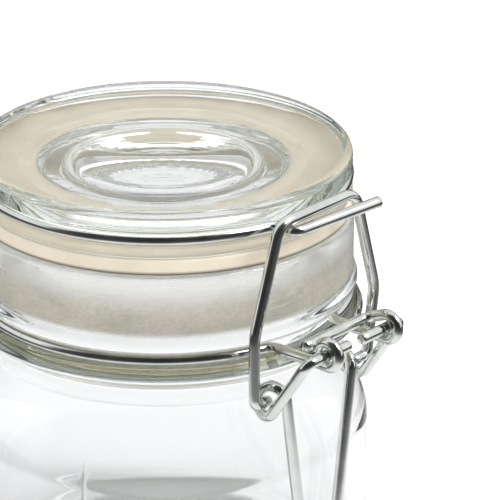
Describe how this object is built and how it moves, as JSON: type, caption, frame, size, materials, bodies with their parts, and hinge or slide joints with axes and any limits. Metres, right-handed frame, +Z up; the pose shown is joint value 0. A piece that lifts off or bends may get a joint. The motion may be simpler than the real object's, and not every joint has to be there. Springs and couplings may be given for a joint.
{
  "type": "clip-top glass jar",
  "caption": "Small glass storage jar with a hinged glass lid, rubber seal and sprung wire clasp that pulls the lid shut when its lever is pressed down.",
  "frame": {"origin": "centre of the jar's flat base", "axes": "+Z up along the jar's axis, -Y towards the clasp, +Y towards the lid's hinge, +X to the right seen from the clasp side"},
  "size_m": [0.072, 0.0894, 0.0854],
  "materials": {
    "glass": "clear pressed glass",
    "lid_glass": "clear pressed glass",
    "seal_rubber": "matt cream rubber",
    "wire": "bright zinc-plated spring wire"
  },
  "bodies": {
    "jar": {"jar": "glass", "neck_wire": "wire"},
    "lid": {"lid": "lid_glass", "lid_wire": "wire", "gasket": "seal_rubber"},
    "lever": {"lever": "wire"},
    "bail": {"bail": "wire"}
  },
  "joints": [
    {"name": "lid_hinge", "type": "hinge", "parent": "jar", "child": "lid", "pos_m": [0, 0.0385, 0.0782], "axis": [-1, 0, 0], "range_deg": [0, 110]},
    {"name": "lever_pivot", "type": "hinge", "parent": "jar", "child": "lever", "pos_m": [0, -0.0445, 0.0609], "axis": [-1, 0, 0], "range_deg": [0, 110]},
    {"name": "bail_swing", "type": "hinge", "parent": "lever", "child": "bail", "pos_m": [0, -0.0349, 0.051], "axis": [1, 0, 0], "range_deg": [0, 290]}
  ],
  "couplings": [
    {"joint": "bail_swing", "follows": "lever_pivot", "ratio": 2.6}
  ]
}
